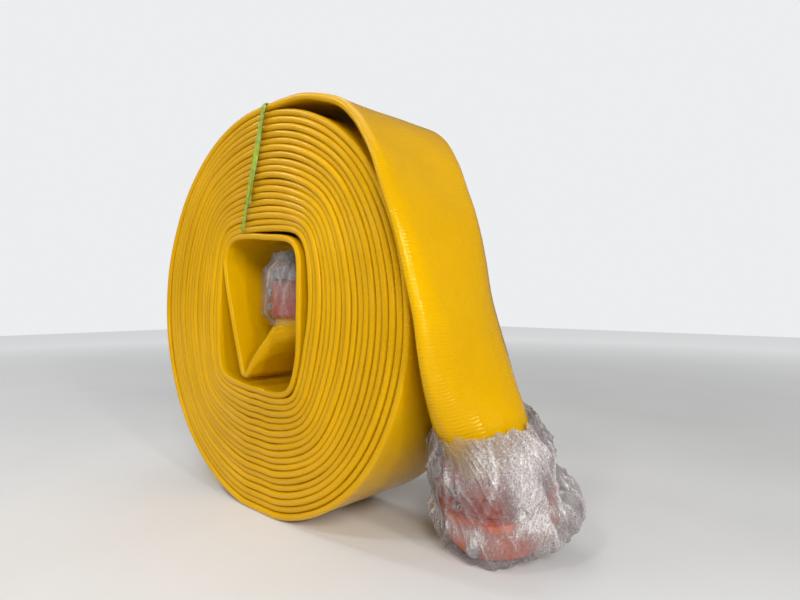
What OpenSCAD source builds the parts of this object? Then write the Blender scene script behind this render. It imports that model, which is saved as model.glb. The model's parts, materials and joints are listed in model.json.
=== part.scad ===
// Rolled layflat fire hose, 3 inch (DN80), 20 m, with a swivel female coupling on the outer end,
// a male coupling on the inner end, a plastic strap round the roll and film round both couplings.
// Millimetres. The origin is the middle of the roll's footprint on the floor: X points to the side
// where the outer end hangs, Y to the back, along the roll's axis, and Z up.

/* [Hose] */
// Width of the hose when it lies flat
hose_w = 130; // [120:1:134]
// Thickness of one hose wall
wall = 3.2; // [2.6:0.1:3.3]

/* [Roll] */
// Outer radius of the roll
roll_r = 235; // [234:1:240]
// Layers counted upwards from the core to the rim
turns = 20; // [16:1:20]
// Half the width of the core opening
core_x = 74; // [73:1:75]
// Half the height of the core opening
core_z = 82; // [81:1:83]
// How far the roll settles on the floor, as a share of its radius
settle = 0.009; // [0.004:0.001:0.012]

/* [Couplings] */
// Radius of the water passage
bore_r = 35; // [30:0.5:36]
// Radius of the thread: the female one's inside and the male one's outside
thread_r = 45; // [44:0.5:45.5]
// Length of the threaded part
thread_l = 24; // [20:1:26]
// Outer radius of the swivel ring
ring_r = 58; // [57:0.5:60]
// Length of the swivel ring
ring_l = 40; // [38:1:44]
// Length of the clamp shells
shell_l = 44; // [42:1:46]
// Tilt of the outer coupling's mouth towards the back, in degrees
outer_tilt = 26; // [24:1:26]
// Lean of the outer coupling's mouth towards the roll, in degrees
outer_lean = 7; // [5:1:8]

/* [Strap and film] */
// Width of the plastic strap
strap_w = 6; // [4:0.5:10]
// Thickness of the plastic strap
strap_t = 0.8; // [0.5:0.1:1.2]
// Thickness of the wrapped film, all layers together
film_t = 1; // [0.8:0.1:1.4]

/* [Hidden] */
$fn = 96;

// The hose
hose_t = 2 * wall;               // the flat hose, both walls
half_w = hose_w / 2;
hose_round_r = 43.2;             // outside of the hose where it is round
hose_bore_r = hose_round_r - wall;
neck_r = hose_bore_r - 0.2;      // where the run ends, just inside the hose on the coupling

// The roll: the axis height, and the core opening's centre measured from the axis
axis_z = roll_r * (1 - settle);
core_dx = -6.5;
core_dz = 0.5;
core_power = 6;                  // a squarish superellipse
core_turn = 5;                   // degrees clockwise, seen from the front
layers = turns - 1;              // layers between the core and the rim at the bottom
turn_start = 135;                // degrees from straight down, by way of the left side
turn_end = 360 * layers + 180;   // straight up
turn_step = 7.5;
level_share = 0.04;              // share of a turn, each side of the bottom, with no growth

// The couplings' own frames: +Z out of the mouth, and the mouth plane at 0
outer_mouth = [252, 56, 29.9];
inner_mouth = [4, 8, axis_z + 72];
outer_spin = 107;                // where the first joint between clamp shells is
inner_spin = 80;
gasket_t = 4;
gasket_r = 48;
seat_s = thread_l + gasket_t;    // the shank's front face, behind the mouth
race_r = 46.2;
race_play = 0.08;
race_s = 34;
ball_r = 3;
ball_play = 0.05;                // round a ball in the shank's groove
ring_ball_play = 0.3;            // round a ball in the swivel ring's groove
balls = 36;
shell_r0 = hose_round_r + 0.2;
shell_r1 = 47;
shell_lip_r = 41;
shell_lip_l = 4;
shell_gap = 2;
outer_shell_s = ring_l + shell_gap;
collar_l = 9;
collar_r = 52;
inner_shell_s = thread_l + collar_l + shell_gap;
ear_t = 6;
ear_gap = 3;
ear_r = 57;
bolt_r = 2.5;
bolt_at = 52;                    // distance of the clamp bolts from the coupling's axis
bolt_rows = [13, 31];
bolt_head_r = 4.25;
bolt_head_l = 5;
washer_t = 1;
nut_t = 4;
nut_af = 8;
lug_r = 7;
lug_stem_r = 5.5;
outer_lug_reach = 66;
inner_lug_reach = 56.5;
play = 0.15;

// The outer end's free run: centre, half width, half thickness and direction of the width
tail_route = [
  [[0.4, 0, 468.6], 65, 3.2, [0, 1, 0]],
  [[38, 0, 468.6], 65, 3.2, [0, 1, 0]],
  [[76, 0, 466], 65, 3.2, [0, 1, 0]],
  [[110, 0, 457], 65, 3.4, [0, 1, 0]],
  [[142, -1, 443], 64.8, 3.8, [0, 1, 0]],
  [[169, -3, 423], 64.4, 4.6, [0, 1, 0.05]],
  [[191, -8, 395], 64, 5.6, [0, 1, 0.08]],
  [[210, -14, 362], 63.5, 6.6, [0, 1, 0.08]],
  [[227, -18, 327], 63, 7.8, [0, 1, 0.08]],
  [[241, -19, 285], 62.5, 9.4, [0, 1, 0.05]],
  [[250, -17, 242], 61.6, 11.4, [0, 1, 0]],
  [[256, -13, 200], 59.4, 15.4, [0.08, 1, 0]],
  [[260, -4, 161], 53.6, 25.0, [0.16, 1, 0]],
  [[262, 5, 135], 47.6, 35.6, [0.2, 1, 0]]
];

// The inner end's run, from the innermost turn down to a fold and up to the coupling:
// centre measured from the roll's axis, half width and half thickness
inner_route = [
  [[-75.5, 0, 68.8], 65, 3.2],
  [[-77.9, 0, 66.4], 65, 3.2],
  [[-78.6, 0, 62], 65, 3.2],
  [[-77.6, 0, 54], 65, 3.2],
  [[-72, 0, 30], 65, 3.2],
  [[-64, 0, 4], 65, 3.2],
  [[-55, 0, -24], 65, 3.2],
  [[-45, 0, -50], 65, 3.2],
  [[-38, 0, -66], 65, 3.2],
  [[-33, 0, -73], 65, 3.2],
  [[-27, 0, -74], 65, 3.2],
  [[-21, 0.4, -69], 64.6, 4.4],
  [[-14, 1.6, -57], 62.4, 9.4],
  [[-7, 3.6, -44], 58, 18],
  [[-1, 6, -32], 51, 30],
  [[3, 7.6, -22], 45.6, 38.6]
];

// The strap: across at the rim and across at the core, measured from the roll's axis
strap_top_x = 14;
strap_core_x = -31;
strap_end_x = -17;
strap_end_z = 127;

// ---------- The roll ----------

function clamp01(v) = min(1, max(0, v));

// Turns wound so far, with no growth next to the bottom, so that the roll stands level
function grown(a) =
  let (n = floor(a / 360), share = a / 360 - n)
  n + clamp01((share - level_share) / (1 - 2 * level_share));

// How much the roll gives under its own weight, in the direction a
function give(a) = let (c = cos(a)) c > 1 - settle ? (1 - settle) / c : 1;

function core_point(a) =
  let (b = a - core_turn,
       r = pow(pow(abs(sin(b)) / core_x, core_power) + pow(abs(cos(b)) / core_z, core_power),
               -1 / core_power))
  [core_dx - r * sin(a), core_dz - r * cos(a)];

// The point at the angle a, at a height above the inner face of the wound hose
function turn_point(a, height) =
  let (
    share = grown(a) / layers,
    rim = [-(roll_r - hose_t) * sin(a), -(roll_r - hose_t) * cos(a)],
    inner = (1 - share) * core_point(a) + share * rim,
    out = [-sin(a), -cos(a)]
  )
  give(a) * (inner + height * out) + [0, axis_z];

module hose_coil() {
  angles = [turn_start : turn_step : turn_end];
  outline = concat(
    [for (a = angles) turn_point(a, 0)],
    [for (i = [len([for (a = angles) a]) - 1 : -1 : 0]) turn_point(turn_start + i * turn_step, hose_t)]
  );
  color("gold")
    rotate([90, 0, 0]) linear_extrude(hose_w, center = true) polygon(outline);
}

// ---------- Swept hose ----------

sides = 16;
section_power = 2.6;             // between an ellipse and a rounded box

function unit(v) = v / norm(v);

function side_of(u) = sign(u) * pow(abs(u), 2 / section_power);

// One ring of points: centre, direction of travel, direction of the width, half width, half thickness
function ring_at(c, t, w, a, b) =
  let (across = unit(w - (w * t) * t), up = cross(t, across))
  [for (i = [0 : sides - 1])
    let (q = (i + 0.5) * 360 / sides)
    c + a * side_of(cos(q)) * across + b * side_of(sin(q)) * up];

function travel(route, i) =
  unit(route[min(i + 1, len(route) - 1)][0] - route[max(i - 1, 0)][0]);

module swept(rings) {
  n = len(rings);
  points = [for (r = rings) each r];
  around = [for (k = [0 : n - 2], i = [0 : sides - 1])
    let (a = k * sides + i, b = k * sides + (i + 1) % sides)
    each [[a, b, b + sides], [a, b + sides, a + sides]]];
  first = [[for (i = [sides - 1 : -1 : 0]) i]];
  last = [[for (i = [0 : sides - 1]) (n - 1) * sides + i]];
  polyhedron(points, concat(around, first, last), convexity = 6);
}

// The point at a distance behind the outer coupling's mouth, and the way the mouth faces
outer_way = [-cos(outer_tilt) * sin(outer_lean), sin(outer_tilt), -cos(outer_tilt) * cos(outer_lean)];
outer_hose_s = outer_shell_s + shell_l + 2;
inner_hose_s = inner_shell_s + shell_l + 2;

module hose_tail() {
  neck = outer_mouth - outer_hose_s * outer_way;
  body = [for (i = [0 : len(tail_route) - 1]) let (p = tail_route[i])
    ring_at(p[0], i == 0 ? [1, 0, 0] : travel(tail_route, i), p[3], p[1], p[2])];
  end = [ring_at(neck - 8 * outer_way, outer_way, [0.2, 1, 0], hose_round_r, hose_round_r - 2),
         ring_at(neck, outer_way, [0.2, 1, 0], neck_r, neck_r)];
  color("gold") swept(concat(body, end));
}

module hose_inner_run() {
  neck = inner_mouth - [0, 0, inner_hose_s];
  path = concat(inner_route, [[neck - [0, 0, axis_z]]]);
  body = [for (i = [0 : len(inner_route) - 1]) let (p = inner_route[i])
    ring_at(p[0] + [0, 0, axis_z], travel(path, i), [0, 1, 0], p[1], p[2])];
  end = [ring_at(neck, [0, 0, 1], [0, 1, 0], neck_r, neck_r)];
  color("gold") swept(concat(body, end));
}

// ---------- Parts that both couplings have ----------

module at_outer() {
  translate(outer_mouth) rotate([0, outer_lean, 0]) rotate([180 + outer_tilt, 0, 0]) children();
}
module at_inner() { translate(inner_mouth) children(); }

// A ring between two distances behind the mouth
module ring(r0, r1, s0, s1) {
  rotate_extrude() translate([r0, -s1]) square([r1 - r0, s1 - s0]);
}

module hose_end(shell_s) {
  color("gold") ring(hose_bore_r, hose_round_r, shell_s + shell_lip_l + 1, shell_s + shell_l + 2);
}

// The barbed tail that the hose is pushed over, as an outline to be turned
barbs = 5;
function barb_outline(s0, s1) =
  let (step = (s1 - s0) / barbs)
  [for (i = [0 : barbs - 1]) each [
    [hose_bore_r - play, -(s0 + i * step)],
    [hose_bore_r - 1.6, -(s0 + (i + 0.9) * step)]
  ]];

// Inside a clamp shell the tail has a groove for the shell's lip, then its barbs
function tail_outline(shell_s) = concat(
  [[shell_lip_r - 0.6, -shell_s + 1], [shell_lip_r - 0.6, -(shell_s + shell_lip_l + 1)]],
  barb_outline(shell_s + shell_lip_l + 1, shell_s + shell_l),
  [[hose_bore_r - 2, -(shell_s + shell_l)], [bore_r, -(shell_s + shell_l)]]
);

module sector(r, span) {
  polygon([[0, 0], for (i = [0 : 8]) r * [cos(span * (i / 8 - 0.5)), sin(span * (i / 8 - 0.5))]]);
}

// One third of the clamp, between two bolted joints
module clamp_shell(shell_s, spin, k) {
  middle = spin + 60 + 120 * k;
  half_gap = asin(ear_gap / 2 / shell_r0);
  color("firebrick") difference() {
    union() {
      rotate([0, 0, middle]) intersection() {
        union() {
          ring(shell_r0, shell_r1, shell_s, shell_s + shell_l);
          ring(shell_lip_r, shell_r1, shell_s, shell_s + shell_lip_l);
          for (s = [4, 22, 40]) ring(shell_r1 - 1, shell_r1 + 1.6, shell_s + s - 1.5, shell_s + s + 1.5);
        }
        translate([0, 0, -shell_s - shell_l - 1]) linear_extrude(shell_l + 2) sector(90, 120 - 2 * half_gap);
      }
      for (e = [-1, 1]) rotate([0, 0, middle + 60 * e]) for (s = bolt_rows)
        translate([(shell_r0 + ear_r) / 2 + 1, -e * (ear_gap + ear_t) / 2, -shell_s - s])
          cube([ear_r - shell_r0 - 2, ear_t, 14], center = true);
    }
    for (e = [-1, 1]) rotate([0, 0, middle + 60 * e]) for (s = bolt_rows)
      translate([bolt_at, 0, -shell_s - s]) rotate([90, 0, 0])
        cylinder(r = bolt_r + play, h = 2 * (ear_gap + ear_t) + 4, center = true);
  }
}

// Places a child at each clamp bolt, with +Z along the bolt towards its head
module each_bolt(shell_s, spin) {
  for (k = [0 : 2]) rotate([0, 0, spin + 120 * k]) for (s = bolt_rows)
    translate([bolt_at, 0, -shell_s - s]) rotate([90, 0, 0]) children();
}

ear_face = ear_gap / 2 + ear_t;  // distance from a joint's middle to the outside of an ear

module clamp_bolts(shell_s, spin) {
  color("darkgray") each_bolt(shell_s, spin) difference() {
    union() {
      translate([0, 0, -ear_face - washer_t - nut_t - 1.5])
        cylinder(r = bolt_r, h = 2 * ear_face + 2 * washer_t + nut_t + 2);
      translate([0, 0, ear_face + washer_t]) cylinder(r = bolt_head_r, h = bolt_head_l);
    }
    translate([0, 0, ear_face + washer_t + bolt_head_l - 2.5]) cylinder(r = 2.3, h = 3, $fn = 6);
  }
}

module clamp_washers(shell_s, spin) {
  color("silver") each_bolt(shell_s, spin) for (z = [ear_face, -ear_face - washer_t])
    translate([0, 0, z]) difference() {
      cylinder(r = bolt_head_r + 0.4, h = washer_t);
      translate([0, 0, -1]) cylinder(r = bolt_r + play, h = washer_t + 2);
    }
}

module clamp_nuts(shell_s, spin) {
  color("silver") each_bolt(shell_s, spin)
    translate([0, 0, -ear_face - washer_t - nut_t]) difference() {
      cylinder(d = nut_af / cos(30), h = nut_t, $fn = 6);
      translate([0, 0, -1]) cylinder(r = bolt_r + 0.05, h = nut_t + 2);
    }
}

// A lug pressed into a ring of the radius r, reaching to the radius reach
module pin_lugs(r, reach, s, spin) {
  color("silver") for (k = [0 : 2]) rotate([0, 0, spin + 120 * k])
    translate([0, 0, -s]) rotate([0, 90, 0]) {
      translate([0, 0, r]) cylinder(r = lug_r, h = reach - r - 1.5);
      translate([0, 0, reach - 1.5]) cylinder(r1 = lug_r, r2 = lug_r - 1.5, h = 1.5);
      translate([0, 0, r - 5]) cylinder(r = lug_stem_r, h = 5.5);
    }
}

module lug_holes(r, s, spin) {
  for (k = [0 : 2]) rotate([0, 0, spin + 120 * k])
    translate([0, 0, -s]) rotate([0, 90, 0]) {
      translate([0, 0, r - 5.2]) cylinder(r = lug_stem_r + 0.02, h = 12);
      translate([0, 0, r]) cylinder(r = lug_r + 1, h = 12);
    }
}

// ---------- Outer coupling: female, with a swivel ring on ball bearings ----------

outer_lug_s = 15;
outer_lug_spin = 80;
outer_lug_seat = ring_r - 1;
plug_spin = 20;

module ball_groove(play) {
  rotate_extrude() translate([race_r, -race_s]) circle(r = ball_r + play);
}

module outer_shank() {
  color("silver") difference() {
    rotate_extrude() polygon(concat(
      [[bore_r, -seat_s], [race_r - race_play / 2, -seat_s],
       [race_r - race_play / 2, -ring_l], [race_r - 3, -ring_l - 1]],
      tail_outline(outer_shell_s)
    ));
    ball_groove(ball_play);
  }
}

module outer_swivel_ring() {
  color("orangered") difference() {
    rotate_extrude() polygon([
      [thread_r + 1.5, 0], [ring_r - 2, 0], [ring_r, -2], [ring_r, -ring_l + 4],
      [ring_r - 4, -ring_l], [race_r + race_play / 2, -ring_l],
      [race_r + race_play / 2, -seat_s], [gasket_r + 0.3, -seat_s], [gasket_r + 0.3, -thread_l],
      [thread_r, -thread_l], [thread_r, -1.5]
    ]);
    ball_groove(ring_ball_play);
    lug_holes(outer_lug_seat, outer_lug_s, outer_lug_spin);
    rotate([0, 0, plug_spin]) translate([race_r + ball_r + 0.4, 0, -race_s]) rotate([0, 90, 0])
      cylinder(r = 3.1, h = 20);
  }
}

module outer_gasket() {
  color("dimgray") ring(bore_r + 1, gasket_r, thread_l + 0.1, seat_s - 0.1);
}

module outer_bearing_balls() {
  color("silver") for (i = [0 : balls - 1]) rotate([0, 0, i * 360 / balls])
    translate([race_r, 0, -race_s]) sphere(r = ball_r);
}

module outer_race_plug() {
  color("gray") rotate([0, 0, plug_spin]) translate([race_r + ball_r + 0.6, 0, -race_s])
    rotate([0, 90, 0]) difference() {
      cylinder(r = 3, h = ring_r - 1 - race_r - ball_r - 0.6);
      translate([0, 0, 5]) cylinder(r = 1.7, h = 9, $fn = 6);
    }
}

// The film as a turned skin, from its lip round the mouth to its ragged edge on the hose
module outer_wrap() {
  clear = film_t + 0.6;
  color("lightgray", 0.5) rotate_extrude() polygon([
    [thread_r + 5, 1.4], [outer_lug_reach - 6, 1.4], [outer_lug_reach + 0.6, -4],
    [outer_lug_reach + 0.6, -24], [ear_r + 1.6, -ring_l + 1],
    [ear_r + 1.2, -outer_shell_s - shell_l], [ear_r - 3, -outer_shell_s - shell_l - 14],
    [ear_r - 3 + film_t, -outer_shell_s - shell_l - 14],
    [ear_r + 1.2 + film_t, -outer_shell_s - shell_l], [ear_r + clear + 1, -ring_l + 1],
    [outer_lug_reach + clear, -25], [outer_lug_reach + clear, -3],
    [outer_lug_reach - 5, 1.4 + film_t], [thread_r + 5, 1.4 + film_t]
  ]);
}

// ---------- Inner coupling: male, one piece ----------

inner_lug_s = thread_l + collar_l / 2;
inner_lug_spin = 60;

module inner_male_body() {
  color("silver") difference() {
    rotate_extrude() polygon(concat(
      [[bore_r, 0], [thread_r - 3, 0], [thread_r - 3, -3], [thread_r, -4.5], [thread_r, -thread_l],
       [collar_r, -thread_l], [collar_r, -thread_l - collar_l], [shell_lip_r - 0.6, -thread_l - collar_l]],
      tail_outline(inner_shell_s)
    ));
    lug_holes(collar_r, inner_lug_s, inner_lug_spin);
  }
}

module inner_wrap() {
  nose = thread_r + 2;
  color("lightgray", 0.5) rotate_extrude() polygon([
    [bore_r + 4, 1], [nose, 1], [nose, -thread_l + 12], [ear_r + 1, -thread_l + 4],
    [ear_r + 1, -inner_shell_s - shell_l + 2], [hose_round_r + 4, -inner_shell_s - shell_l - 7],
    [hose_round_r + 4 + film_t, -inner_shell_s - shell_l - 7],
    [ear_r + 1 + film_t, -inner_shell_s - shell_l + 2], [ear_r + 1 + film_t, -thread_l + 4],
    [nose + film_t, -thread_l + 12], [nose + film_t, 1 + film_t], [bore_r + 4, 1 + film_t]
  ]);
}

// ---------- Strap ----------

// The strap runs up the front, over the rim, down the back and through the core
strap_y = half_w + strap_t / 2 + 0.3;
strap_top_z = roll_r + 5.6;
strap_core_z = core_z + core_dz + 3.5;

// A flat length of strap between two points in a plane of constant Y
module strap_leg(from, to, y) {
  d = to - from;
  translate([(from[0] + to[0]) / 2, y, axis_z + (from[1] + to[1]) / 2])
    rotate([0, atan2(d[0], d[1]), 0]) cube([strap_w, strap_t, norm(d)], center = true);
}

module tie_strap() {
  depth = 2 * strap_y + strap_t;
  color("limegreen") union() {
    for (y = [-strap_y, strap_y])
      strap_leg([strap_core_x, strap_core_z], [strap_top_x, strap_top_z], y);
    translate([strap_top_x, 0, axis_z + strap_top_z]) cube([strap_w, depth, strap_t], center = true);
    translate([strap_core_x, 0, axis_z + strap_core_z]) cube([strap_w, depth, strap_t], center = true);
  }
}

module tie_strap_end() {
  color("limegreen")
    strap_leg([strap_end_x, strap_end_z], [strap_top_x + 1, strap_top_z - 2], -strap_y - strap_t - 0.1);
}

module tie_knot() {
  color("limegreen") translate([-8, strap_y + strap_t / 2 + 3.1, axis_z + 174])
    rotate([0, 15, 0]) cube([13, 6, 9], center = true);
}

hose_coil();
hose_tail();
hose_inner_run();
at_outer() hose_end(outer_shell_s);  // outer_hose_end
at_inner() hose_end(inner_shell_s);  // inner_hose_end
tie_strap();
tie_strap_end();
tie_knot();
at_outer() outer_shank();
at_outer() outer_swivel_ring();
at_outer() pin_lugs(outer_lug_seat, outer_lug_reach, outer_lug_s, outer_lug_spin);  // outer_pin_lugs
at_outer() outer_gasket();
at_outer() outer_bearing_balls();
at_outer() outer_race_plug();
at_outer() clamp_shell(outer_shell_s, outer_spin, 0);  // outer_clamp_shell_1
at_outer() clamp_shell(outer_shell_s, outer_spin, 1);  // outer_clamp_shell_2
at_outer() clamp_shell(outer_shell_s, outer_spin, 2);  // outer_clamp_shell_3
at_outer() clamp_bolts(outer_shell_s, outer_spin);  // outer_clamp_bolts
at_outer() clamp_washers(outer_shell_s, outer_spin);  // outer_clamp_washers
at_outer() clamp_nuts(outer_shell_s, outer_spin);  // outer_clamp_nuts
at_outer() outer_wrap();
at_inner() inner_male_body();
at_inner() pin_lugs(collar_r, inner_lug_reach, inner_lug_s, inner_lug_spin);  // inner_pin_lugs
at_inner() clamp_shell(inner_shell_s, inner_spin, 0);  // inner_clamp_shell_1
at_inner() clamp_shell(inner_shell_s, inner_spin, 1);  // inner_clamp_shell_2
at_inner() clamp_shell(inner_shell_s, inner_spin, 2);  // inner_clamp_shell_3
at_inner() clamp_bolts(inner_shell_s, inner_spin);  // inner_clamp_bolts
at_inner() clamp_washers(inner_shell_s, inner_spin);  // inner_clamp_washers
at_inner() clamp_nuts(inner_shell_s, inner_spin);  // inner_clamp_nuts
at_inner() inner_wrap();
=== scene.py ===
"""The looks of the rolled fire hose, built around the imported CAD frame. Metres, in the CAD's frame.

The hose is one long flattened tube, swept along the run inside the core, the wound turns and the free
outer end. The strap and the film round the couplings are pieces of their own, and the couplings are the
CAD's solids with better materials.
"""
import json
import math

import bpy
import numpy as np
from mathutils import Matrix, Vector, noise


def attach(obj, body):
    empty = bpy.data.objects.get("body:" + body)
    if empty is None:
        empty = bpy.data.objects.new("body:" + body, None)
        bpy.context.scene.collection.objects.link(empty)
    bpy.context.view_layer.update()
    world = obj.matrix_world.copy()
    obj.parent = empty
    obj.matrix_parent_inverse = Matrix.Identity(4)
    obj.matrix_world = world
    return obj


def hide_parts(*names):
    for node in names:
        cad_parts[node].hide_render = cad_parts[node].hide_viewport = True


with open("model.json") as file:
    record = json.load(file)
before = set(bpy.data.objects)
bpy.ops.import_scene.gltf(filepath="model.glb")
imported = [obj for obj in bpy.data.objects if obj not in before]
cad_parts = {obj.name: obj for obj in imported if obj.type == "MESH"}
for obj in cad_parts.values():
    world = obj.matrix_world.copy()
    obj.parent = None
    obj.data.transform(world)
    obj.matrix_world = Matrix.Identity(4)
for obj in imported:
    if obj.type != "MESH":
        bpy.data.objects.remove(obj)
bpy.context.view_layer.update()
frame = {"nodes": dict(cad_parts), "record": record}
MM = 0.001

# ---------------------------------------------------------------- sizes, as in the CAD, in millimetres

HOSE_W = 130
WALL = 3.2
HOSE_T = 2 * WALL
ROLL_R = 235
TURNS = 20
LAYERS = TURNS - 1
CORE_X, CORE_Z = 74, 82
CORE_DX, CORE_DZ = -6.5, 0.5
CORE_POWER = 6
CORE_TURN = 5
SETTLE = 0.009
AXIS_Z = ROLL_R * (1 - SETTLE)
LEVEL_SHARE = 0.04
TURN_START = 135
TURN_END = 360 * LAYERS + 180
HOSE_ROUND_R = 43.2
OUTER_TILT = 26
OUTER_LEAN = 7
OUTER_MOUTH = np.array([252, 56, 29.9])
INNER_MOUTH = np.array([4, 8, AXIS_Z + 72])
OUTER_HOSE_S = 88
INNER_HOSE_S = 81
STRAP_TOP = (14, ROLL_R + 5.6)
STRAP_CORE = (-31, 97.5)
STRAP_END = (-14.5, 127)
STRAP_OFF_FACE = 2.3
LOOP_W, LOOSE_END_W, KNOT_W = 5.8, 5.4, 4.0

# how the wound hose departs from even turns: angle, width in degrees and depth of each place
PER_RADIAN = 57.3
INNERMOST_PULLS = ((240, 20, 4.6), (272, 18, 3.2), (196, 20, 1.8), (318, 14, 3.0))
LAST_TURN_LIFTS = ((95, 26, 1.8), (225, 20, 1.4))
PRESSED_PLACE, PRESSED_W, PRESSED_DEPTH, PRESSED_TURNS = 254, 42, 8.4, 8
PRESSED_FROM = 400
HOSE_OFF_FLOOR = 0.2
DENT_RATE, DENT_DEPTH = 0.014, 2.2

# radius and distance behind the mouth, from the lip at the mouth to the ragged edge on the hose
OUTER_PROFILE = [
    (49, -1.5), (55, -2.2), (59.5, -1.2), (65.6, 6), (67.2, 12), (67, 24), (61, 35), (58.8, 43),
    (58.6, 84), (55, 95), (51, 108), (50.5, 132),
]
INNER_PROFILE = [
    (39, -1.2), (46, -1.5), (48, 2), (48, 10), (59, 20), (59.6, 50), (59.4, 74), (52, 80), (47, 85),
    (48.5, 89),
]
FILM_OFF_FLOOR = 0.15
PROFILE_SOFT_ROWS = 9
CREASES = ((0.045, 1.0), (0.1, 0.6), (0.24, 0.24))
EDGE_RAGS = ((3, 1), (9, 0.6), (24, 0.3))

# centre, half width, half thickness and direction of the width, as in the CAD
TAIL_ROUTE = [
    ((0.4, 0, 468.6), 65, 3.2, (0, 1, 0)),
    ((38, 0, 468.6), 65, 3.2, (0, 1, 0)),
    ((76, 0, 466), 65, 3.2, (0, 1, 0)),
    ((110, 0, 457), 65, 3.4, (0, 1, 0)),
    ((142, -1, 443), 64.8, 3.8, (0, 1, 0)),
    ((169, -3, 423), 64.4, 4.6, (0, 1, 0.05)),
    ((191, -8, 395), 64, 5.6, (0, 1, 0.08)),
    ((210, -14, 362), 63.5, 6.6, (0, 1, 0.08)),
    ((227, -18, 327), 63, 7.8, (0, 1, 0.08)),
    ((241, -19, 285), 62.5, 9.4, (0, 1, 0.05)),
    ((250, -17, 242), 61.6, 11.4, (0, 1, 0)),
    ((256, -13, 200), 59.4, 15.4, (0.08, 1, 0)),
    ((260, -4, 161), 53.6, 25, (0.16, 1, 0)),
    ((262, 5, 135), 47.6, 35.6, (0.2, 1, 0)),
]
INNER_ROUTE = [
    ((-75.5, 0, 68.8), 65, 3.2),
    ((-78.2, 0, 65.6), 65, 3.2),
    ((-78.6, 0, 61), 65, 3.2),
    ((-77.4, 0, 53), 65, 3.2),
    ((-72, 0, 30), 65, 3.2),
    ((-64, 0, 4), 65, 3.2),
    ((-55, 0, -24), 65, 3.2),
    ((-46, 0, -50), 65, 3.2),
    ((-40, 0, -67), 65, 3.2),
    ((-36.5, 0, -75), 65, 3.3),
    ((-31.5, 0, -76.6), 65, 3.4),
    ((-27, 0.4, -73), 65, 3.6),
    ((-18, 1.6, -60), 64.4, 6),
    ((-9, 3.6, -46), 61.5, 12),
    ((-2, 6, -33), 55, 23),
    ((2.4, 7.6, -22), 48.6, 33.6),
]


# ---------------------------------------------------------------- small tools

def waves(x, seed, count=5, octave=1.7):
    """A smooth wander between about -1 and 1, the same on each run."""
    rng = np.random.default_rng(seed)
    total = np.zeros_like(np.asarray(x, float))
    for k in range(count):
        rate = octave ** k * rng.uniform(0.8, 1.2)
        total += rng.uniform(0.6, 1.0) * 0.75 ** k * np.sin(rate * x + rng.uniform(0, 2 * math.pi))
    return total / 1.8


def smooth(x, low, high):
    t = np.clip((np.asarray(x, float) - low) / (high - low), 0, 1)
    return t * t * (3 - 2 * t)


def unit(v):
    v = np.asarray(v, float)
    return v / np.linalg.norm(v, axis=-1, keepdims=True)


def spline(rows, step):
    """Catmull-Rom through the rows, whose first three numbers are a place, about a step apart."""
    rows = np.asarray(rows, float)
    padded = np.vstack([2 * rows[0] - rows[1], rows, 2 * rows[-1] - rows[-2]])
    out = []
    for i in range(len(rows) - 1):
        p0, p1, p2, p3 = padded[i:i + 4]
        pieces = max(1, int(np.linalg.norm(p2[:3] - p1[:3]) / step))
        for k in range(pieces):
            t = k / pieces
            out.append(0.5 * (2 * p1 + (p2 - p0) * t + (2 * p0 - 5 * p1 + 4 * p2 - p3) * t ** 2
                              + (3 * p1 - p0 - 3 * p2 + p3) * t ** 3))
    out.append(rows[-1])
    return np.array(out)


def mesh_object(name, points, faces, uvs=None, haze=None):
    """A mesh from points in millimetres. uvs has one place in metres for each corner of each face."""
    mesh = bpy.data.meshes.new(name)
    mesh.from_pydata((np.asarray(points) * MM).tolist(), [], faces)
    if uvs is not None:
        layer = mesh.uv_layers.new(name="along")
        layer.data.foreach_set("uv", np.asarray(uvs, float).ravel())
    if haze is not None:
        attribute = mesh.attributes.new("haze", "FLOAT", "POINT")
        attribute.data.foreach_set("value", np.asarray(haze, float).ravel())
    mesh.polygons.foreach_set("use_smooth", [True] * len(mesh.polygons))
    mesh.update()
    piece = bpy.data.objects.new(name, mesh)
    bpy.context.scene.collection.objects.link(piece)
    return piece


def grid_faces(rows, columns, closed):
    """Quads between rows of points, and their corners' places as (row, column) numbers."""
    faces, corners = [], []
    for i in range(rows - 1):
        for j in range(columns if closed else columns - 1):
            k = (j + 1) % columns
            faces.append((i * columns + j, i * columns + k, (i + 1) * columns + k, (i + 1) * columns + j))
            corners.append(((i, j), (i, j + 1), (i + 1, j + 1), (i + 1, j)))
    return faces, corners


def end_caps(rows, columns):
    """The faces that close the first and the last row of a swept tube."""
    return [tuple(range(columns))[::-1], tuple(range((rows - 1) * columns, rows * columns))]


def coupling_frame(mouth, tilt, lean):
    """The mouth's middle, and columns with the coupling's own X, Y and Z in the row frame.
    +Z points out of its mouth."""
    turn = Matrix.Rotation(math.radians(lean), 3, "Y") @ Matrix.Rotation(math.radians(tilt), 3, "X")
    return mouth, np.array(turn)


OUTER = coupling_frame(OUTER_MOUTH, 180 + OUTER_TILT, OUTER_LEAN)
INNER = coupling_frame(INNER_MOUTH, 0, 0)


# ---------------------------------------------------------------- the hose

def grown(a):
    turn = np.floor(a / 360)
    share = a / 360 - turn
    return turn + np.clip((share - LEVEL_SHARE) / (1 - 2 * LEVEL_SHARE), 0, 1)


def bump(a, place, width):
    return np.exp(-((a - place) / width) ** 2)


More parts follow.
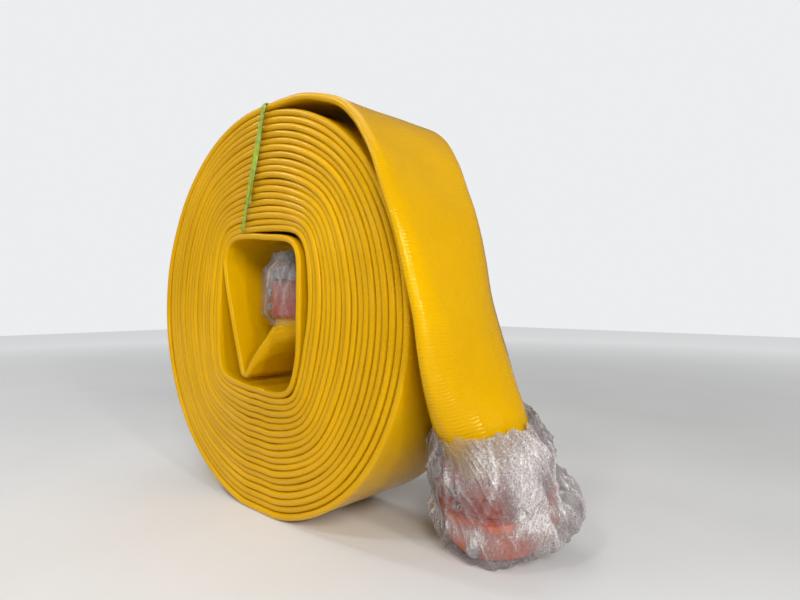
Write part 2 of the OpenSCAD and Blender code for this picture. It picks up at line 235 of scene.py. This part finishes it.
def coil_middle(a):
    """The wound hose's middle line, seen from the front, at the angle a from straight down."""
    out = np.stack([-np.sin(np.radians(a)), -np.cos(np.radians(a))], 1)
    b = np.radians(a - CORE_TURN)
    core_r = (np.abs(np.sin(b) / CORE_X) ** CORE_POWER + np.abs(np.cos(b) / CORE_Z) ** CORE_POWER)
    core = core_r[:, None] ** (-1 / CORE_POWER) * out + [CORE_DX, CORE_DZ]
    share = (grown(a) / LAYERS)[:, None]
    inner = (1 - share) * core + share * (ROLL_R - HOSE_T) * out
    loose = smooth(a, 520, 760) * (1 - smooth(a, TURN_END - 620, TURN_END - 400))
    slack = (0.42 * waves(a / PER_RADIAN * 1.3, 3) + 0.25 * waves(a / PER_RADIAN * 5.1, 4)) * loose
    # the innermost turn hangs clear of the next, and the last turns stand off a little
    slack -= sum(depth * bump(a, place, width) for place, width, depth in INNERMOST_PULLS)
    # on the right, the next turns are pressed together and leave a gap beside the innermost one
    turns_out = np.floor((a - PRESSED_FROM) / 360)
    pressed = smooth(a, PRESSED_FROM, PRESSED_FROM + 120) * np.maximum(0, 1 - turns_out / PRESSED_TURNS)
    slack += PRESSED_DEPTH * pressed * bump(a % 360, PRESSED_PLACE, PRESSED_W)
    slack += sum(depth * bump(a, TURN_END - before, width) for before, width, depth in LAST_TURN_LIFTS)
    c = np.cos(np.radians(a))
    give = np.where(c > 1 - SETTLE, (1 - SETTLE) / np.maximum(c, 0.1), 1)[:, None]
    middle = give * (inner + (HOSE_T / 2 + slack)[:, None] * out)
    return middle + [0, AXIS_Z]


SIDE_POINTS = 13
END_POINTS = 7


def section_numbers():
    """For each point of the hose's outline: where along the flat side it is, and the angle round the edge."""
    along = list(np.linspace(1, -1, SIDE_POINTS))
    round_left = list(np.linspace(90, 270, END_POINTS + 2)[1:-1])
    side = along + [-1] * END_POINTS + along[::-1] + [1] * END_POINTS
    angle = [90] * SIDE_POINTS + round_left + [270] * SIDE_POINTS + [x + 180 for x in round_left]
    return np.array(side, float), np.radians(angle)


def hose_sections(half_w, half_t):
    """The outline of each station, from a flat strip with rounded edges to a circle."""
    side, angle = section_numbers()
    half_w, half_t = half_w[:, None], half_t[:, None]
    flat_x = side * (half_w - half_t) + half_t * np.cos(angle)
    flat_y = half_t * np.sin(angle)
    bead = 0.5 * smooth(np.abs(flat_x) / half_w, 0.84, 0.94) * (1 - smooth(half_t, 3.4, 9))
    flat_y = flat_y * (1 + bead / half_t)
    turn = np.arctan2(np.sin(angle), 0.5 * (side + np.cos(angle)))
    oval_x, oval_y = half_w * np.cos(turn), half_t * np.sin(turn)
    opened = smooth(half_t / half_w, 0.055, 0.26)
    return flat_x + opened * (oval_x - flat_x), flat_y + opened * (oval_y - flat_y)


def hose_stations():
    """The stations of the whole hose from the inner coupling to the outer one, as one table:
    place (3), direction of the width (3), half width, half thickness."""
    inner = [[x, y, z + AXIS_Z, 0, 1, 0, w, t] for (x, y, z), w, t in INNER_ROUTE]
    neck_s = INNER_HOSE_S - 6
    inner.append([*(INNER_MOUTH - [0, 0, neck_s]), 0, 1, 0, HOSE_ROUND_R - 0.4, HOSE_ROUND_R - 0.4])
    inner = spline(inner, 3.0)[::-1]

    angles = np.arange(TURN_START + 5, TURN_END - 3, 3.0)
    middle = coil_middle(angles)
    edge = 1.6 * waves(angles / PER_RADIAN * 0.37, 11) + 0.6 * waves(angles / PER_RADIAN * 2.3, 12)
    coil = np.zeros((len(angles), 8))
    coil[:, 0], coil[:, 1], coil[:, 2] = middle[:, 0], edge, middle[:, 1]
    coil[:, 4] = 1
    coil[:, 6] = HOSE_W / 2
    coil[:, 7] = HOSE_T / 2

    tail = [[*place, *wide, w, t] for place, w, t, wide in TAIL_ROUTE]
    way = OUTER[1][:, 2]
    neck = OUTER_MOUTH - (OUTER_HOSE_S - 6) * way
    tail.append([*(neck - 12 * way), 0.2, 1, 0, HOSE_ROUND_R, HOSE_ROUND_R - 1])
    tail.append([*neck, 0.2, 1, 0, HOSE_ROUND_R - 0.4, HOSE_ROUND_R - 0.4])
    tail = spline(tail, 4.0)
    return inner[:-1], coil, tail


def make_hose():
    parts = hose_stations()
    table = np.vstack(parts)
    place = table[:, :3]
    travel = unit(np.gradient(place, axis=0))
    wide = table[:, 3:6]
    wide = unit(wide - (wide * travel).sum(1)[:, None] * travel)
    up = np.cross(travel, wide)
    length = np.concatenate([[0], np.cumsum(np.linalg.norm(np.diff(place, axis=0), axis=1))])
    x, y = hose_sections(table[:, 6], table[:, 7])
    points = place[:, None] + x[..., None] * wide[:, None] + y[..., None] * up[:, None]
    rows, columns = x.shape
    # slow dents in the free outer end
    whole = length[-1]
    loose = smooth(length, whole - 500, whole - 380) * (1 - smooth(length, whole - 60, whole))
    free = loose > 0
    dents = np.array([[noise.noise(Vector(p * DENT_RATE)) for p in row] for row in points[free]])
    points[free] += (DENT_DEPTH * dents * loose[free][:, None])[..., None] * up[free][:, None]
    points[..., 2] = np.maximum(points[..., 2], HOSE_OFF_FLOOR)
    faces, corners = grid_faces(rows, columns, True)
    outline = points[rows // 2]
    around = np.linalg.norm(np.diff(outline, axis=0, append=outline[:1]), axis=1)
    across = np.concatenate([[0], np.cumsum(around)])
    uvs = [(across[j] * MM, length[i] * MM) for face in corners for i, j in face]
    faces += end_caps(rows, columns)
    uvs += [(0, 0)] * (2 * columns)
    hose = mesh_object("hose", points.reshape(-1, 3), faces, uvs)
    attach(hose, "roll")
    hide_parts("hose_coil", "hose_tail", "hose_inner_run")
    return hose


# ---------------------------------------------------------------- strap

def ribbon(name, route, width, thick, normal_hint, twist=0.0, ribs=0.12):
    """A flat plastic strap swept along a route, with fine ribs along it."""
    line = spline(route, 2.5)
    travel = unit(np.gradient(line, axis=0))
    if callable(normal_hint):
        hint = normal_hint(line)
    else:
        hint = np.broadcast_to(np.asarray(normal_hint, float), line.shape)
    flat = unit(np.cross(travel, hint))
    up = np.cross(flat, travel)
    phase = np.linspace(0, 1, len(line))
    turn = twist * np.sin(phase * math.pi * 3)
    across = np.linspace(-1, 1, 13)
    top = thick / 2 + ribs * (np.cos(across * 6 * math.pi) - 1) / 2
    top[[0, -1]] = thick * 0.2
    outline_x = np.concatenate([across, across[::-1]]) * width / 2
    outline_y = np.concatenate([top, -top[::-1]])
    c, s = np.cos(turn)[:, None], np.sin(turn)[:, None]
    x = outline_x * c - outline_y * s
    y = outline_x * s + outline_y * c
    points = line[:, None] + x[..., None] * flat[:, None] + y[..., None] * up[:, None]
    rows, columns = x.shape
    faces, _ = grid_faces(rows, columns, True)
    faces += end_caps(rows, columns)
    return mesh_object(name, points.reshape(-1, 3), faces)


def strap_points(first, last, y, bow, count=7):
    """Points up or down one face of the roll, a little bowed away from it."""
    rows = []
    for k in range(count):
        t = k / (count - 1)
        x = first[0] + (last[0] - first[0]) * t
        z = first[1] + (last[1] - first[1]) * t
        rows.append([x, y + math.copysign(bow * math.sin(math.pi * t), y), AXIS_Z + z])
    return rows


def make_strap():
    face = HOSE_W / 2 + STRAP_OFF_FACE
    top_z, core_z = STRAP_TOP[1], STRAP_CORE[1]
    rim = (STRAP_TOP[0], top_z - 3.5)
    front = strap_points(STRAP_CORE, rim, -face, 0.8)
    back = strap_points(rim, STRAP_CORE, face, 0.8)
    over = [[STRAP_TOP[0], y, AXIS_Z + top_z - 0.7] for y in (-face + 2, -30, 30, face - 2)]
    under = [[STRAP_CORE[0], y, AXIS_Z + core_z - 0.4] for y in (face - 3, 30, -30, -face + 3)]
    loop = front + over + back + under + front[:1]

    def away(line):
        """Away from the roll's own rim or face, whichever the strap lies on."""
        y = line[:, 1:2] / face
        side = np.sign(y) * np.abs(y) ** 8
        rise = np.where(line[:, 2:3] > AXIS_Z + 160, 1, -1) * (1 - np.abs(side))
        return np.hstack([np.zeros_like(y), side, rise])

    strap = ribbon("tie_strap_loop", loop, LOOP_W, 1.1, away, ribs=0.3)
    end_way = strap_points(STRAP_END, (STRAP_TOP[0] + 4.6, top_z - 4), -face - 0.9, 0.8, 11)
    end_way = [[x + 0.7 * math.sin(1.1 * i), y, z] for i, (x, y, z) in enumerate(end_way)]
    end = ribbon("tie_strap_loose_end", end_way, LOOSE_END_W, 1.0, (0, -1, 0), twist=0.5, ribs=0.3)
    turns = np.linspace(0, 3 * 2 * math.pi, 40)
    wraps = [
        [-8.6 + 5.4 * math.sin(q) + 0.08 * i, face + 2.6 + 2.9 * math.cos(q), AXIS_Z + 169.4 + 0.24 * i]
        for i, q in enumerate(turns)
    ]
    tail = [[-2 - 1.3 * i, face + 4.6 + 0.5 * math.sin(0.8 * i), AXIS_Z + 174 - 2.4 * i] for i in range(7)]
    knot = ribbon("tie_strap_knot", wraps + tail, KNOT_W, 0.9, (0.3, 0, 1), ribs=0.15)
    for piece, node in ((strap, "tie_strap"), (end, "tie_strap_end"), (knot, "tie_knot")):
        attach(piece, "roll")
        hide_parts(node)
    return [strap, end, knot]


# ---------------------------------------------------------------- film round the couplings

def crumple(point, seed):
    """Height of crumpled film: flat facets between sharp creases, longer along the coupling."""
    x, y, z = point
    total = 0.0
    for rate, weight in CREASES:
        near = noise.voronoi(Vector((x, y, 0.5 * z)) * rate + Vector((seed, 0, 0)))[0]
        total += weight * min(near[1] - near[0], 0.6)
    return total


def folds(q, s, seed):
    """Height of the long pleats that run along the film, sharp at the top."""
    twist = s * 0.006
    wide = noise.noise(Vector((2.3 * math.cos(q + twist), 2.3 * math.sin(q + twist), s * 0.006 + seed)))
    narrow = noise.noise(Vector((6 * math.cos(q - twist), 6 * math.sin(q - twist), s * 0.01 + seed + 5)))
    return max(0, 1 - abs(wide) * 7) + 0.55 * max(0, 1 - abs(narrow) * 6)


def make_film(name, coupling, profile, seed, amount, ragged, columns=400, rows=150, pleats=3.0,
              top_wave=None, bulge=None, floor=None, clear_at=None, flatten=None):
    """A skin of crumpled film turned about a coupling, and the flat size that it was cut to."""
    mouth, axes = coupling
    profile = np.asarray(profile, float)
    run = np.concatenate([[0], np.cumsum(np.linalg.norm(np.diff(profile, axis=0), axis=1))])
    share = np.linspace(0, 1, rows)
    radius = np.interp(share * run[-1], run, profile[:, 0])
    behind = np.interp(share * run[-1], run, profile[:, 1])
    soft = np.ones(PROFILE_SOFT_ROWS) / PROFILE_SOFT_ROWS
    pad = PROFILE_SOFT_ROWS // 2
    radius = np.convolve(np.pad(radius, pad, mode="edge"), soft, mode="valid")
    behind = np.convolve(np.pad(behind, pad, mode="edge"), soft, mode="valid")
    slope_r, slope_s = np.gradient(radius), np.gradient(behind)
    size = np.hypot(slope_r, slope_s)
    normal_r, normal_s = slope_s / size, -slope_r / size
    points, haze = [], []
    for i in range(rows):
        for j in range(columns):
            q = 2 * math.pi * j / columns
            rags = sum(weight * noise.noise(Vector((rate * math.cos(q), rate * math.sin(q), seed)))
                       for rate, weight in EDGE_RAGS)
            edge = float(smooth(share[i], 0.55, 1.0)) * ragged * rags
            s = behind[i] + edge + (top_wave(q) * float(smooth(share[i], 0.6, 1.0)) if top_wave else 0)
            flat = flatten(s) if flatten else 1
            base = np.array([radius[i] * flat * math.cos(q), radius[i] * math.sin(q), -s])
            pleat = folds(q, s, seed)
            lift = crumple(base, seed) * amount + pleats * pleat + (bulge(q, s) if bulge else 0)
            r = radius[i] + lift * normal_r[i]
            z = -s - lift * normal_s[i]
            points.append([r * flat * math.cos(q), r * math.sin(q), z])
            # the pleats add to the haze, so the film is whiter and more opaque along them: partly bunched
            # film, partly a painted highlight
            cloud = 0.52 + 0.75 * noise.noise(Vector((base[0], base[1], 0.45 * base[2])) * 0.035
                                            + Vector((0, seed, 0))) + 0.34 * pleat
            if clear_at:
                cloud -= 0.75 * clear_at(q, s)
            haze.append(min(1, max(0, cloud)))
    world = np.array(points) @ axes.T + mouth
    if floor is not None:
        world[:, 2] = np.maximum(world[:, 2], floor)
    faces, corners = grid_faces(rows, columns, True)
    uvs = [(j / columns * 0.4, i / rows * 0.16) for face in corners for i, j in face]
    film = mesh_object(name, world, faces, uvs, haze)
    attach(film, "roll")
    # before it was crumpled: once round the widest place, and from hem to hem along the profile
    flat_size = (round(2 * math.pi * profile[:, 0].max() * MM, 3), round(run[-1] * MM, 3))
    return film, flat_size


def hump(q, place, width):
    """1 at the angle place, in degrees, falling to 0 over about the width."""
    off = (math.degrees(q) - place + 180) % 360 - 180
    return math.exp(-(off / width) ** 2)


def make_films():
    def clear(q, s):
        low = 1.1 * hump(q, 90, 29) * math.exp(-((s - 12) / 12) ** 2)
        low -= 0.22 * math.exp(-((s - 37) / 7) ** 2)
        bolts = 0.85 * hump(q, 84, 32) * math.exp(-((s - 62) / 26) ** 2)
        return min(1, 1.2 * low + bolts) - 0.3 * hump(q, 5, 44)

    def taller(q):
        return 7 * hump(q, 62, 34) + 11 * hump(q, 150, 13) - 24 * hump(q, 308, 56)

    def bulge(q, s):
        return 13 * hump(q, 335, 34) * math.exp(-((s - 9) / 24) ** 2)

    outer, outer_flat = make_film(
        "outer_film", OUTER,
        OUTER_PROFILE, 1.7, 2.2, 6, top_wave=taller, bulge=bulge, floor=FILM_OFF_FLOOR, clear_at=clear,
        flatten=lambda s: 1 - 0.27 * float(smooth(s, 92, 132)))
    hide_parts("outer_wrap")
    inner, inner_flat = make_film(
        "inner_film", INNER,
        INNER_PROFILE, 7.3, 1.2, 4, columns=300, rows=110, pleats=1.1, clear_at=lambda q, s: 0.62)
    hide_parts("inner_wrap")
    return outer, inner


# ---------------------------------------------------------------- materials

def new_material(name):
    material = bpy.data.materials.new(name)
    material.use_nodes = True
    nodes, links = material.node_tree.nodes, material.node_tree.links
    return material, nodes, links, nodes["Principled BSDF"]


def math_node(nodes, links, operation, first, second=None):
    node = nodes.new("ShaderNodeMath")
    node.operation = operation
    for socket, value in zip(node.inputs, (first, second)):
        if value is None:
            continue
        if isinstance(value, (int, float)):
            socket.default_value = value
        else:
            links.new(value, socket)
    return node.outputs[0]


def noise_node(nodes, links, vector, scale, detail=3.0, roughness=0.55):
    node = nodes.new("ShaderNodeTexNoise")
    node.inputs["Scale"].default_value = scale
    node.inputs["Detail"].default_value = detail
    node.inputs["Roughness"].default_value = roughness
    links.new(vector, node.inputs["Vector"])
    return node.outputs["Fac"]


def ramp_node(nodes, links, value, stops):
    node = nodes.new("ShaderNodeValToRGB")
    elements = node.color_ramp.elements
    while len(elements) < len(stops):
        elements.new(0.5)
    for element, (place, colour) in zip(elements, stops):
        element.position = place
        element.color = (*colour, 1)
    links.new(value, node.inputs["Fac"])
    return node.outputs["Color"]


def range_node(nodes, links, value, low, high, to_low, to_high):
    node = nodes.new("ShaderNodeMapRange")
    links.new(value, node.inputs["Value"])
    for socket, number in zip(("From Min", "From Max", "To Min", "To Max"), (low, high, to_low, to_high)):
        node.inputs[socket].default_value = number
    return node.outputs["Result"]


def bump_node(nodes, links, height, strength, distance, normal=None):
    node = nodes.new("ShaderNodeBump")
    node.inputs["Strength"].default_value = strength
    node.inputs["Distance"].default_value = distance
    links.new(height, node.inputs["Height"])
    if normal is not None:
        links.new(normal, node.inputs["Normal"])
    return node.outputs["Normal"]


def place_node(nodes):
    return nodes.new("ShaderNodeTexCoord").outputs["Object"]


YARN_PITCH = 0.003


def hose_material():
    """Glossy yellow polyurethane over a woven jacket, whose twill shows through as fine ribs."""
    material, nodes, links, shader = new_material("hose_yellow")
    uv = nodes.new("ShaderNodeUVMap")
    uv.uv_map = "along"
    split = nodes.new("ShaderNodeSeparateXYZ")
    links.new(uv.outputs["UV"], split.inputs[0])
    across, along = split.outputs["X"], split.outputs["Y"]
    yarn = 2 * math.pi / YARN_PITCH
    aside = math_node(nodes, links, "MULTIPLY", across, 0.6)
    slant = math_node(nodes, links, "SUBTRACT", aside, along)
    counter = math_node(nodes, links, "ADD", aside, along)
    rib = math_node(nodes, links, "SINE", math_node(nodes, links, "MULTIPLY", slant, yarn))
    cross = math_node(nodes, links, "SINE", math_node(nodes, links, "MULTIPLY", counter, yarn))
    weave = math_node(nodes, links, "ADD", cross, math_node(nodes, links, "MULTIPLY", rib, 0.5))
    place = place_node(nodes)
    mottle = noise_node(nodes, links, place, 7, 4)
    fine = noise_node(nodes, links, place, 380, 3, 0.65)
    turn = nodes.new("ShaderNodeCombineXYZ")
    links.new(along, turn.inputs["Z"])
    bands = noise_node(nodes, links, turn.outputs[0], 2.6, 2)
    mottle = math_node(nodes, links, "ADD", math_node(nodes, links, "MULTIPLY", mottle, 0.5),
                       math_node(nodes, links, "MULTIPLY", bands, 0.5))
    colour = ramp_node(nodes, links, mottle, [(0.36, (0.53, 0.281, 0.0)), (0.64, (0.69, 0.374, 0.0))])
    links.new(colour, shader.inputs["Base Color"])
    links.new(range_node(nodes, links, fine, 0.3, 0.7, 0.11, 0.24), shader.inputs["Roughness"])
    height = math_node(nodes, links, "ADD", math_node(nodes, links, "MULTIPLY", weave, 0.62), fine)
    slow = bump_node(nodes, links, noise_node(nodes, links, place, 40, 3), 0.3, 0.0025)
    links.new(bump_node(nodes, links, height, 0.42, 0.0003, slow), shader.inputs["Normal"])
    shader.inputs["Specular IOR Level"].default_value = 0.26
    shader.inputs["Specular Tint"].default_value = (1, 0.88, 0.36, 1)
    return material


def strap_material():
    material, nodes, links, shader = new_material("strap_green")
    place = place_node(nodes)
    streak = noise_node(nodes, links, place, 160, 3)
    colour = ramp_node(nodes, links, streak, [(0.3, (0.14, 0.25, 0.008)), (0.7, (0.40, 0.50, 0.035))])
    links.new(colour, shader.inputs["Base Color"])
    links.new(range_node(nodes, links, streak, 0.3, 0.7, 0.3, 0.5), shader.inputs["Roughness"])
    links.new(bump_node(nodes, links, streak, 0.4, 0.0004), shader.inputs["Normal"])
    return material


def alloy_material(name, dark, light, metallic, rough_low, rough_high):
    """Machined or anodised aluminium, with fine scuffs and cloudy tone."""
    material, nodes, links, shader = new_material(name)
    place = place_node(nodes)
    cloud = noise_node(nodes, links, place, 35, 4)
    grain = noise_node(nodes, links, place, 900, 2)
    links.new(ramp_node(nodes, links, cloud, [(0.3, dark), (0.7, light)]), shader.inputs["Base Color"])
    links.new(range_node(nodes, links, grain, 0.3, 0.7, rough_low, rough_high), shader.inputs["Roughness"])
    links.new(bump_node(nodes, links, grain, 0.3, 0.0002), shader.inputs["Normal"])
    shader.inputs["Metallic"].default_value = metallic
    return material


def rubber_material():
    material, nodes, links, shader = new_material("seal_rubber")
    grain = noise_node(nodes, links, place_node(nodes), 500, 3)
    links.new(ramp_node(nodes, links, grain, [(0.3, (0.015, 0.015, 0.015)), (0.7, (0.04, 0.04, 0.04))]),
              shader.inputs["Base Color"])
    links.new(range_node(nodes, links, grain, 0.3, 0.7, 0.5, 0.75), shader.inputs["Roughness"])
    links.new(bump_node(nodes, links, grain, 0.3, 0.0002), shader.inputs["Normal"])
    return material


def film_material():
    """Clear film: cloudy where it is thick, white along its creases, bright on its facets; whiter along its
    pleats, partly as bunched film and partly as a painted highlight.
    """
    material, nodes, links, shader = new_material("clear_film")
    place = place_node(nodes)
    haze = nodes.new("ShaderNodeAttribute")
    haze.attribute_name = "haze"
    drawn = nodes.new("ShaderNodeMapping")
    drawn.inputs["Scale"].default_value = (1, 1, 0.38)
    links.new(place, drawn.inputs["Vector"])
    streaks = noise_node(nodes, links, drawn.outputs["Vector"], 75, 4, 0.6)
    facets = nodes.new("ShaderNodeTexVoronoi")
    facets.inputs["Scale"].default_value = 260
    links.new(drawn.outputs["Vector"], facets.inputs["Vector"])
    grain = noise_node(nodes, links, place, 620, 3, 0.65)
    ridge = math_node(nodes, links, "ABSOLUTE", math_node(nodes, links, "SUBTRACT", streaks, 0.5))
    line = range_node(nodes, links, ridge, 0.0, 0.035, 1.0, 0.0)
    cloudy = haze.outputs["Fac"]
    thick = range_node(nodes, links, cloudy, 0.0, 1.0, 0.12, 0.86)
    marks = math_node(nodes, links, "MULTIPLY", line, range_node(nodes, links, cloudy, 0, 1, 0.03, 0.09))
    cover = math_node(nodes, links, "ADD", thick, marks)
    cover = math_node(nodes, links, "ADD", cover, range_node(nodes, links, grain, 0.35, 0.75, -0.08, 0.16))
    links.new(cover, shader.inputs["Alpha"])
    tone = math_node(nodes, links, "ADD", math_node(nodes, links, "MULTIPLY", line, 0.16), grain)
    # whiter where the haze is high; along the pleats that is partly bunched film and partly a painted
    # highlight
    tone = math_node(nodes, links, "ADD", tone, range_node(nodes, links, cloudy, 0.55, 1.0, 0.0, 0.30))
    links.new(ramp_node(nodes, links, tone, [(0.3, (0.20, 0.175, 0.18)), (0.65, (0.36, 0.32, 0.32)),
                                            (1.0, (0.68, 0.65, 0.64))]), shader.inputs["Base Color"])
    links.new(range_node(nodes, links, grain, 0.3, 0.7, 0.07, 0.24), shader.inputs["Roughness"])
    height = math_node(nodes, links, "ADD", facets.outputs["Distance"],
                       math_node(nodes, links, "MULTIPLY", streaks, 0.7))
    links.new(bump_node(nodes, links, height, 0.65, 0.0018), shader.inputs["Normal"])
    shader.inputs["Specular IOR Level"].default_value = 0.6
    return material


def dress():
    """Gives every shown CAD node its material."""
    bare = alloy_material("bare_alloy", (0.34, 0.34, 0.35), (0.54, 0.54, 0.55), 1.0, 0.28, 0.5)
    orange = alloy_material("orange_alloy", (0.70, 0.10, 0.02), (0.85, 0.17, 0.04), 0.35, 0.3, 0.45)
    red = alloy_material("red_alloy", (0.40, 0.055, 0.03), (0.56, 0.10, 0.05), 0.35, 0.3, 0.48)
    # a darker copy of the bare alloy for the inner male body, which sits deep in the roll's core: painted
    # shade, not a different finish
    shaded_bare = alloy_material("bare_alloy_painted_shade", (0.13, 0.13, 0.125), (0.30, 0.30, 0.28), 0.9, 0.3, 0.5)
    steel = alloy_material("zinc_steel", (0.32, 0.33, 0.34), (0.5, 0.5, 0.52), 1.0, 0.3, 0.5)
    hose = hose_material()
    looks = {"hose": hose, "strap": strap_material(), "bare_alloy": bare, "orange_alloy": orange,
             "red_alloy": red, "steel": steel, "seal": rubber_material(), "film": film_material()}
    slots = {row["node"]: row["material_slot"] for row in frame["record"]["subparts"]}
    for node, piece in frame["nodes"].items():
        piece.data.materials.clear()
        # the inner male body takes the darker copy of the bare alloy, which paints the core's shade into it
        piece.data.materials.append(shaded_bare if node == "inner_male_body" else looks[slots[node]])
    return looks


# ---------------------------------------------------------------- stage

# name, place, what it points at, size, watts, and a colour where it isn't white
MIDDLE = (0.05, 0, 0.25)
LAMPS = [
    ("key", (1.75, -1.25, 1.25), MIDDLE, 0.7, 31, (1, 0.99, 0.96)),
    ("fill", (-1.3, -1.7, 1.0), MIDDLE, 1.2, 9),
    ("top", (-0.3, 0.2, 1.9), MIDDLE, 1.2, 8),
    ("gleam_left", (-1.1, -0.55, 1.45), MIDDLE, 0.22, 5),
    ("gleam_front", (0.2, -1.1, 1.45), MIDDLE, 0.22, 4),
    ("sheen", (1.7, -0.40, 0.82), (0.24, -0.05, 0.28), 0.11, 7.5),
    ("sheen_low", (1.7, -0.42, 0.40), (0.26, -0.05, 0.18), 0.1, 2.4),
]


def area_light(name, place, target, size, watts, colour=(1, 1, 1)):
    light = bpy.data.lights.new(name, "AREA")
    light.size = size
    light.energy = watts
    light.color = colour
    lamp = bpy.data.objects.new(name, light)
    lamp.location = place
    lamp.rotation_euler = (Vector(target) - Vector(place)).to_track_quat("-Z", "Y").to_euler()
    bpy.context.scene.collection.objects.link(lamp)


def make_stage():
    bpy.ops.mesh.primitive_plane_add(size=8, location=(0, 0, -0.0005))
    floor = bpy.context.object
    floor.name = "floor"
    material, nodes, links, shader = new_material("floor_pale_glowing")
    tone = noise_node(nodes, links, place_node(nodes), 3, 3)
    links.new(ramp_node(nodes, links, tone, [(0.3, (0.70, 0.70, 0.70)), (0.7, (0.74, 0.74, 0.74))]),
              shader.inputs["Base Color"])
    shader.inputs["Roughness"].default_value = 0.9
    # the floor glows, more the further it is from the middle, so that it looks white far off: painted light
    # from a surface that is no lamp
    far = nodes.new("ShaderNodeVectorMath")
    far.operation = "LENGTH"
    links.new(place_node(nodes), far.inputs[0])
    shader.inputs["Emission Color"].default_value = (0.98, 0.99, 1, 1)
    glow = range_node(nodes, links, far.outputs["Value"], 0.8, 2.8, 0, 0.5)
    links.new(glow, shader.inputs["Emission Strength"])
    floor.data.materials.append(material)

    world = bpy.data.worlds.new("studio")
    world.use_nodes = True
    tree = world.node_tree
    sky = tree.nodes["Background"]
    sky.inputs["Color"].default_value = (0.98, 0.99, 1, 1)
    seen = tree.nodes.new("ShaderNodeLightPath").outputs["Is Camera Ray"]
    tree.links.new(range_node(tree.nodes, tree.links, seen, 0, 1, 0.19, 0.86), sky.inputs["Strength"])
    bpy.context.scene.world = world
    for lamp in LAMPS:
        area_light(*lamp)


def make_camera():
    camera = bpy.data.cameras.new("camera")
    camera.sensor_width = 36
    camera.lens = 24.57
    eye = bpy.data.objects.new("camera", camera)
    eye.location = (0.552, -0.423, 0.247)
    eye.rotation_euler = (math.radians(90), 0, math.radians(42.5))
    bpy.context.scene.collection.objects.link(eye)
    bpy.context.scene.camera = eye


# ---------------------------------------------------------------- the whole

make_camera()
make_stage()
looks = dress()
hose = make_hose()
hose.data.materials.append(looks["hose"])
for piece in make_strap():
    piece.data.materials.append(looks["strap"])
for piece in make_films():
    piece.data.materials.append(looks["film"])
bpy.context.scene.view_settings.view_transform = "Standard"
